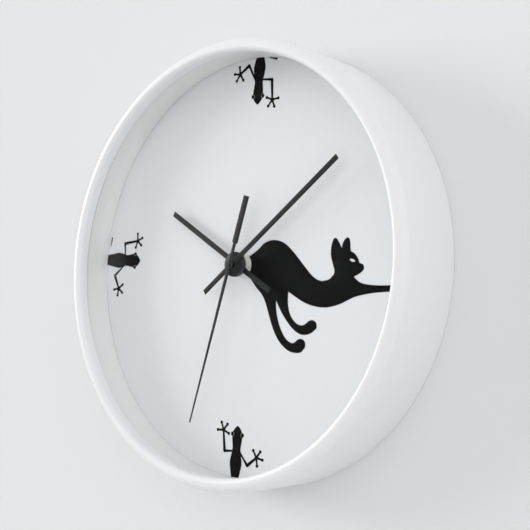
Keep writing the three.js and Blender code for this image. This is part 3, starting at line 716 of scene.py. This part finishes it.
def back_hardware():
    softened("movement_housing", "case", 0.3 * MM)
    softened("movement_back_cover", "case", 0.25 * MM)
    softened("setting_knob", "setting_arbor", 0.15 * MM)
    softened("hanger_bracket", "case", 0.12 * MM)
    for name in frame["nodes"]:
        if name.startswith("board_point"):
            softened(name, "case", 0.08 * MM)


def knob_ring():
    """The raised ring moulded on the cover round the setting knob's well."""
    back = heights("movement_back_cover")[0]
    middle = centre("setting_knob")
    inner = radius("setting_knob") + KNOB_WELL_GAP + KNOB_RING_INSET
    loops = [circle(inner + KNOB_RING_WIDTH, middle), circle(inner, middle)]
    mesh = plate_mesh(loops, back - KNOB_RING_HEIGHT, back + KNOB_RING_SINK, KNOB_RING_EDGE)
    slot = SLOTS["movement_back_cover"]
    add_piece("knob_ring", mesh, FINISHES[slot], "case")


def battery():
    """An AA cell: a drawn can in its sleeve, with the nub and the grooved insulator at one end."""
    low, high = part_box("battery")
    size = (high.z - low.z) / 2
    length = high.x - low.x
    shoulder = length - NUB_HEIGHT
    foot = [
        (0, CELL_FOOT),
        (size * 0.55, CELL_FOOT),
        (size * 0.62, 0, 0.15 * MM),
        (size - 0.5 * MM, 0, 0.2 * MM),
    ]
    can = [
        (size, 0.6 * MM, 0.3 * MM),
        (size, shoulder - 1 * MM, 0.3 * MM),
        (size - 0.9 * MM, shoulder, 0.3 * MM),
    ]
    insulator = [
        (size * 0.7, shoulder, 0.1 * MM),
        (size * 0.6, shoulder - INSULATOR_DEPTH, 0.1 * MM),
        (NUB_RADIUS, shoulder - INSULATOR_DEPTH),
    ]
    nub = [(NUB_RADIUS, length, 0.4 * MM), (0, length)]
    mesh = lathe_mesh(filleted(foot + can + insulator + nub), CELL_SEGMENTS)
    middle = Vector((low.x, (low.y + high.y) / 2, (low.z + high.z) / 2))
    place = Matrix.Translation(middle) @ Matrix.Rotation(math.pi / 2, 4, "Y")
    stand_in("battery", mesh, "battery_cell", place=place)


# ---- stage ----

# Degrees and metres, with the lens and the sensor in millimetres. The camera looks at AIM.
CAMERA = {"azimuth": 41.3, "elevation": -2.59, "roll": 3.66, "distance": 0.5647}
LENS = 64.64
SENSOR = 36
NEAREST_SHOWN = 0.01
AIM = Vector((-0.0002, WALL_Y, 0.0016))
WALL_HOLE = radius("case_ring") - 0.8 * MM
WALL_GAP = 0.3 * MM  # between the case's back and the wall, so that the two don't coincide
WALL_SIZE = 6.0
FLOOR_SIZE = 200.0
FLOOR_DROP = 1.2  # below the shaft
ROOM_COLOUR = (0.97, 0.98, 1, 1)
ROOM_STRENGTH = 0.69


def stage_material(name, colour):
    shader = Shader(name, Roughness=0.9, Specular_IOR_Level=0)
    drift = shader.noise(1.5, 2)
    lighter = tuple(c * 1.01 for c in colour[:3]) + (1,)
    shader.set(shader.surface, Base_Color=shader.blended(drift, colour, lighter))
    shader.bump(shader.noise(900, 3), 0.03 * MM)
    return shader


def backdrop():
    """A floor, and a wall seen only from its front and open behind the clock, whose back then shows."""
    shader = stage_material("wall", (0.82, 0.82, 0.82, 1))
    side = shader.add("ShaderNodeNewGeometry").outputs["Backfacing"]
    clear = shader.add("ShaderNodeBsdfTransparent")
    mix = shader.add("ShaderNodeMixShader", _0=side, _1=shader.surface.outputs[0], _2=clear.outputs[0])
    shader.set(shader.output, Surface=mix.outputs[0])
    wall = ring_sheet(WALL_HOLE, WALL_SIZE)
    wall.transform(STAND @ Matrix.Translation((0, 0, -WALL_GAP)))
    floor = ring_sheet(0, FLOOR_SIZE)
    floor.transform(Matrix.Translation((0, 0, -FLOOR_DROP)))
    for name, mesh, material in (
        ("wall", wall, shader.material),
        ("floor", floor, stage_material("floor", (0.8, 0.8, 0.79, 1)).material),
    ):
        mesh.materials.append(material)
        sheet = bpy.data.objects.new(name, mesh)
        bpy.context.scene.collection.objects.link(sheet)


def ring_sheet(hole, size, segments=96):
    """A flat sheet facing +Z, round a hole or whole."""
    bm = bmesh.new()
    rim = [bm.verts.new((x, y, 0)) for x, y in circle(size, segments=segments)]
    if not hole:
        bm.faces.new(rim)
    else:
        inner = [bm.verts.new((x, y, 0)) for x, y in circle(hole, segments=segments)]
        for i in range(segments):
            j = (i + 1) % segments
            bm.faces.new((inner[i], rim[i], rim[j], inner[j]))
    mesh = bpy.data.meshes.new("sheet")
    bm.to_mesh(mesh)
    bm.free()
    return mesh


def sun(name, towards, strength, spread):
    """A lamp that shines along a direction, from a disc that spreads over an angle in degrees."""
    light = bpy.data.lights.new(name, "SUN")
    light.energy = strength
    light.angle = math.radians(spread)
    lamp = bpy.data.objects.new(name, light)
    lamp.rotation_mode = "QUATERNION"
    lamp.rotation_quaternion = Vector(towards).to_track_quat("-Z", "Y")
    bpy.context.scene.collection.objects.link(lamp)


def lights():
    """Soft light from the left and the right, and from behind the wall, which only the clock's back sees."""
    sun("key", (0.93, 0.34, -0.12), 1.65, 30)
    sun("window", (-0.68, 0.68, -0.1), 1.05, 90)
    sun("rear", (0.1, -0.9, -0.4), 0.9, 40)
    world = bpy.data.worlds.new("room")
    world.use_nodes = True
    background = world.node_tree.nodes["Background"]
    background.inputs["Color"].default_value = ROOM_COLOUR
    background.inputs["Strength"].default_value = ROOM_STRENGTH
    bpy.context.scene.world = world


def camera():
    a, e = math.radians(CAMERA["azimuth"]), math.radians(CAMERA["elevation"])
    back = Vector((math.sin(a) * math.cos(e), -math.cos(a) * math.cos(e), math.sin(e)))
    data = bpy.data.cameras.new("camera")
    data.lens = LENS
    data.sensor_width = SENSOR
    data.clip_start = NEAREST_SHOWN
    cam = bpy.data.objects.new("camera", data)
    cam.rotation_mode = "QUATERNION"
    cam.location = AIM + back * CAMERA["distance"]
    level = (-back).to_track_quat("-Z", "Y").to_matrix().to_4x4()
    roll = Matrix.Rotation(math.radians(CAMERA["roll"]), 4, back)
    cam.rotation_quaternion = (roll @ level).to_quaternion()
    bpy.context.scene.collection.objects.link(cam)
    bpy.context.scene.camera = cam
    bpy.context.scene.view_settings.view_transform = "Standard"


paint_cad_nodes()
case_ring()
dial_parts()
prints()
hands()
minute_hub()
second_hub()
mounting_nut()
back_hardware()
knob_ring()
battery()
backdrop()
lights()
camera()
